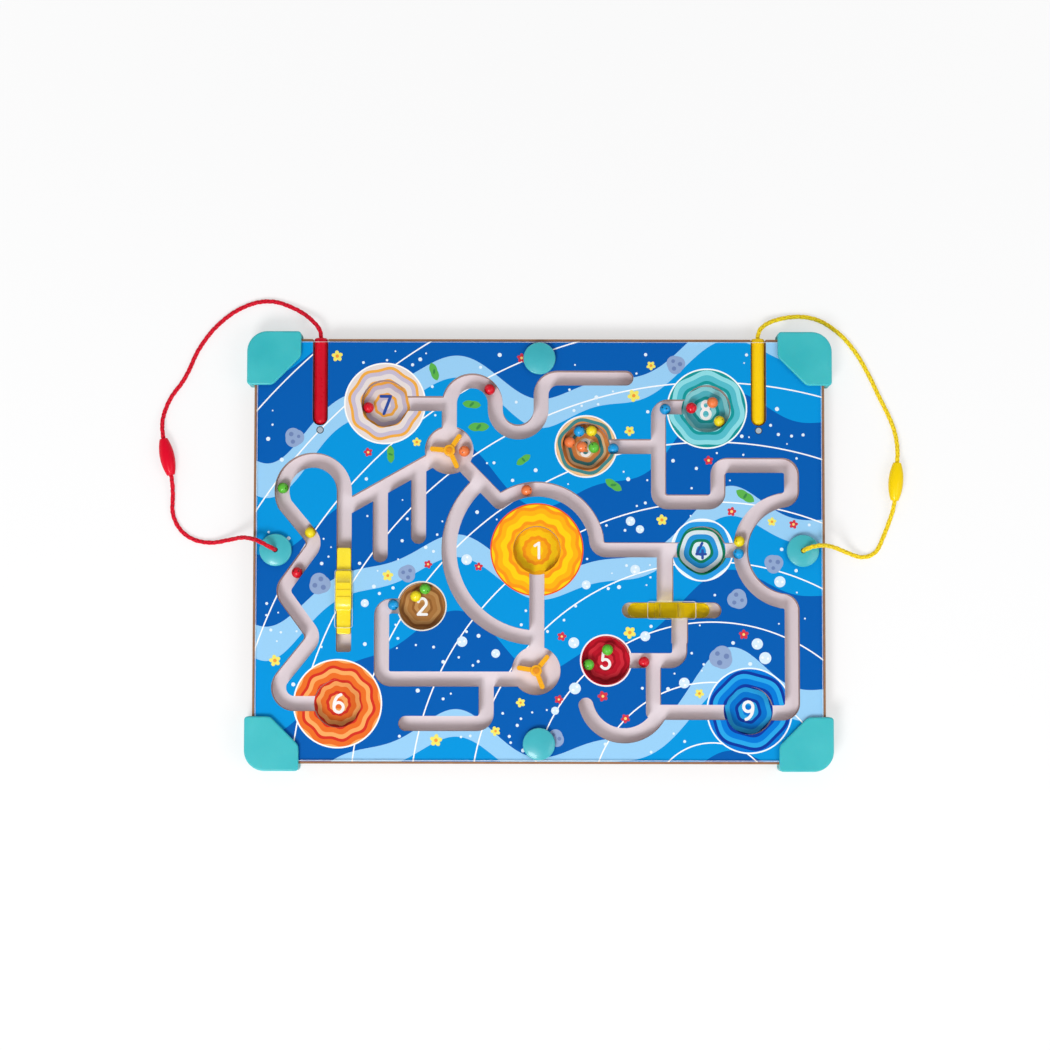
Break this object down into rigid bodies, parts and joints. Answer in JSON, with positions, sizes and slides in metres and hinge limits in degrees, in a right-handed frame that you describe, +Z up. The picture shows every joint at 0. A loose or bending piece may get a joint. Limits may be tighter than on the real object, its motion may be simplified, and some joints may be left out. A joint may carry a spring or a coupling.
{
  "type": "magnetic maze board",
  "caption": "Flat wooden ball maze under a clear cover, with numbered wells, turning spinners, sliding gates, corner bumpers and magnet wands on cords.",
  "frame": {"origin": "centre of the board at the level of the bumpers' undersides", "axes": "+X along the long side, to the right with the cords at the far edge; +Y towards the far edge, which the wands are pulled out of; +Z up, out of the clear cover"},
  "size_m": [0.5119, 0.3245, 0.0283],
  "materials": {
    "track_wood": "printed on the face, raw in the tracks",
    "backing_wood": "smooth, partly printed",
    "clear_plastic": "polished, clear",
    "teal_rubber": "satin",
    "teal_plastic": "glossy",
    "screw_steel": "bright zinc",
    "bare_steel": "ground",
    "magnet_alloy": "nickel plated",
    "red_plastic": "glossy",
    "yellow_plastic": "glossy",
    "red_cord": "braided",
    "yellow_cord": "braided",
    "spinner_plastic": "glossy",
    "slider_plastic": "glossy",
    "clear_yellow_plastic": "glossy, see-through",
    "red_paint": "glossy enamel",
    "orange_paint": "glossy enamel",
    "yellow_paint": "glossy enamel",
    "green_paint": "glossy enamel",
    "blue_paint": "glossy enamel"
  },
  "bodies": {
    "board": {"backing_board": "backing_wood", "track_board": "track_wood", "track_island": "track_wood", "clear_cover": "clear_plastic", "corner_bumper_top_left": "teal_rubber", "corner_bumper_top_right": "teal_rubber", "corner_bumper_bottom_left": "teal_rubber", "corner_bumper_bottom_right": "teal_rubber", "knob_top": "teal_plastic", "knob_bottom": "teal_plastic", "cord_knob_left": "teal_plastic", "cord_knob_right": "teal_plastic", "knob_screws": "screw_steel", "wand_catches": "bare_steel", "spinner_pins": "spinner_plastic", "red_cord_lower": "red_cord", "red_cord_knot": "red_cord", "yellow_cord_lower": "yellow_cord", "yellow_cord_knot": "yellow_cord"},
    "red_wand": {"red_wand": "red_plastic", "red_wand_magnet": "magnet_alloy", "red_wand_cap": "red_plastic", "red_cord_upper": "red_cord", "red_clasp_upper": "red_plastic", "red_clasp_lower": "red_plastic"},
    "yellow_wand": {"yellow_wand": "yellow_plastic", "yellow_wand_magnet": "magnet_alloy", "yellow_wand_cap": "yellow_plastic", "yellow_cord_upper": "yellow_cord", "yellow_clasp_upper": "yellow_plastic", "yellow_clasp_lower": "yellow_plastic"},
    "column_slider": {"column_slider": "slider_plastic"},
    "cross_slider": {"cross_slider": "clear_yellow_plastic"},
    "spinner_upper": {"spinner_upper": "spinner_plastic"},
    "spinner_lower": {"spinner_lower": "spinner_plastic"},
    "ball_red_1": {"ball_red_1": "red_paint"},
    "ball_red_2": {"ball_red_2": "red_paint"},
    "ball_red_3": {"ball_red_3": "red_paint"},
    "ball_red_4": {"ball_red_4": "red_paint"},
    "ball_red_5": {"ball_red_5": "red_paint"},
    "ball_orange_1": {"ball_orange_1": "orange_paint"},
    "ball_orange_2": {"ball_orange_2": "orange_paint"},
    "ball_orange_3": {"ball_orange_3": "orange_paint"},
    "ball_orange_4": {"ball_orange_4": "orange_paint"},
    "ball_orange_5": {"ball_orange_5": "orange_paint"},
    "ball_blue_1": {"ball_blue_1": "blue_paint"},
    "ball_blue_2": {"ball_blue_2": "blue_paint"},
    "ball_blue_3": {"ball_blue_3": "blue_paint"},
    "ball_blue_4": {"ball_blue_4": "blue_paint"},
    "ball_blue_5": {"ball_blue_5": "blue_paint"},
    "ball_yellow_1": {"ball_yellow_1": "yellow_paint"},
    "ball_yellow_2": {"ball_yellow_2": "yellow_paint"},
    "ball_yellow_3": {"ball_yellow_3": "yellow_paint"},
    "ball_yellow_4": {"ball_yellow_4": "yellow_paint"},
    "ball_yellow_5": {"ball_yellow_5": "yellow_paint"},
    "ball_green_1": {"ball_green_1": "green_paint"},
    "ball_green_2": {"ball_green_2": "green_paint"},
    "ball_green_3": {"ball_green_3": "green_paint"},
    "ball_green_4": {"ball_green_4": "green_paint"},
    "ball_green_5": {"ball_green_5": "green_paint"}
  },
  "joints": [
    {"name": "red_wand_pull", "type": "slide", "parent": "board", "child": "red_wand", "axis": [0, 1, 0], "range_m": [0, 0.062]},
    {"name": "yellow_wand_pull", "type": "slide", "parent": "board", "child": "yellow_wand", "axis": [0, 1, 0], "range_m": [0, 0.062]},
    {"name": "column_slider_slide", "type": "slide", "parent": "board", "child": "column_slider", "axis": [0, -1, 0], "range_m": [0, 0.011]},
    {"name": "cross_slider_slide", "type": "slide", "parent": "board", "child": "cross_slider", "axis": [1, 0, 0], "range_m": [-0.0038, 0.0076]},
    {"name": "spinner_upper_turn", "type": "hinge", "parent": "board", "child": "spinner_upper", "pos_m": [-0.06162, 0.06873, 0.005], "axis": [0, 0, 1], "continuous": true},
    {"name": "spinner_lower_turn", "type": "hinge", "parent": "board", "child": "spinner_lower", "pos_m": [-0.00195, -0.08178, 0.005], "axis": [0, 0, 1], "continuous": true},
    {"name": "ball_red_1_roll", "type": "slide", "parent": "board", "child": "ball_red_1", "axis": [0.9984, 0.0563, 0], "range_m": [0, 0.045]},
    {"name": "ball_red_2_roll", "type": "hinge", "parent": "board", "child": "ball_red_2", "pos_m": [-0.04592, 0.10063, 0.0091], "axis": [0, 0, 1], "range_deg": [-40, 128]},
    {"name": "ball_red_3_roll", "type": "slide", "parent": "board", "child": "ball_red_3", "axis": [-0.5858, -0.8105, 0], "range_m": [-0.016, 0.008]},
    {"name": "ball_red_4_roll", "type": "slide", "parent": "board", "child": "ball_red_4", "axis": [0, -1, 0], "range_m": [0, 0.007]},
    {"name": "ball_red_5_roll", "type": "slide", "parent": "board", "child": "ball_red_5", "axis": [1, 0, 0], "range_m": [-0.012, 0.015]},
    {"name": "ball_orange_1_roll", "type": "hinge", "parent": "board", "child": "ball_orange_1", "pos_m": [-0.06162, 0.06873, 0.0091], "axis": [0, 0, 1], "continuous": true},
    {"name": "ball_orange_2_roll", "type": "slide", "parent": "board", "child": "ball_orange_2", "axis": [0, -1, 0], "range_m": [0, 0.008]},
    {"name": "ball_orange_3_roll", "type": "slide", "parent": "board", "child": "ball_orange_3", "axis": [0, -1, 0], "range_m": [0, 0.011]},
    {"name": "ball_orange_4_roll", "type": "slide", "parent": "board", "child": "ball_orange_4", "axis": [0, 1, 0], "range_m": [0, 0.006]},
    {"name": "ball_orange_5_roll", "type": "hinge", "parent": "board", "child": "ball_orange_5", "pos_m": [-0.00156, 0.00058, 0.0091], "axis": [0, 0, 1], "range_deg": [-80, 22]},
    {"name": "ball_blue_1_roll", "type": "slide", "parent": "board", "child": "ball_blue_1", "axis": [0, -1, 0], "range_m": [0, 0.0025]},
    {"name": "ball_blue_2_roll", "type": "slide", "parent": "board", "child": "ball_blue_2", "axis": [1, 0, 0], "range_m": [-0.002, 0.03]},
    {"name": "ball_blue_3_roll", "type": "slide", "parent": "board", "child": "ball_blue_3", "axis": [1, 0, 0], "range_m": [-0.001, 0.007]},
    {"name": "ball_blue_4_roll", "type": "slide", "parent": "board", "child": "ball_blue_4", "axis": [1, 0, 0], "range_m": [-0.002, 0.005]},
    {"name": "ball_blue_5_roll", "type": "hinge", "parent": "board", "child": "ball_blue_5", "pos_m": [0.17238, 0.00029, 0.0091], "axis": [0, 0, 1], "range_deg": [0, 60]},
    {"name": "ball_yellow_1_roll", "type": "slide", "parent": "board", "child": "ball_yellow_1", "axis": [0, -1, 0], "range_m": [0, 0.003]},
    {"name": "ball_yellow_2_roll", "type": "slide", "parent": "board", "child": "ball_yellow_2", "axis": [-1, 0, 0], "range_m": [0, 0.008]},
    {"name": "ball_yellow_3_roll", "type": "slide", "parent": "board", "child": "ball_yellow_3", "axis": [-0.6385, 0.7696, 0], "range_m": [0, 0.019]},
    {"name": "ball_yellow_4_roll", "type": "slide", "parent": "board", "child": "ball_yellow_4", "axis": [0, -1, 0], "range_m": [0, 0.016]},
    {"name": "ball_yellow_5_roll", "type": "hinge", "parent": "board", "child": "ball_yellow_5", "pos_m": [0.17238, 0.00029, 0.0091], "axis": [0, 0, 1], "range_deg": [-56, 0]},
    {"name": "ball_green_1_roll", "type": "slide", "parent": "board", "child": "ball_green_1", "axis": [0, -1, 0], "range_m": [0, 0.01]},
    {"name": "ball_green_2_roll", "type": "hinge", "parent": "board", "child": "ball_green_2", "pos_m": [-0.15444, 0.04031, 0.0091], "axis": [0, 0, 1], "range_deg": [-165, 18]},
    {"name": "ball_green_3_roll", "type": "slide", "parent": "board", "child": "ball_green_3", "axis": [0.4424, -0.8968, 0], "range_m": [0, 0.009]},
    {"name": "ball_green_4_roll", "type": "slide", "parent": "board", "child": "ball_green_4", "axis": [0, -1, 0], "range_m": [0, 0.017]},
    {"name": "ball_green_5_roll", "type": "slide", "parent": "board", "child": "ball_green_5", "axis": [0, 1, 0], "range_m": [0, 0.005]}
  ],
  "couplings": [
    {"joint": "ball_orange_1_roll", "follows": "spinner_upper_turn", "ratio": 1}
  ]
}
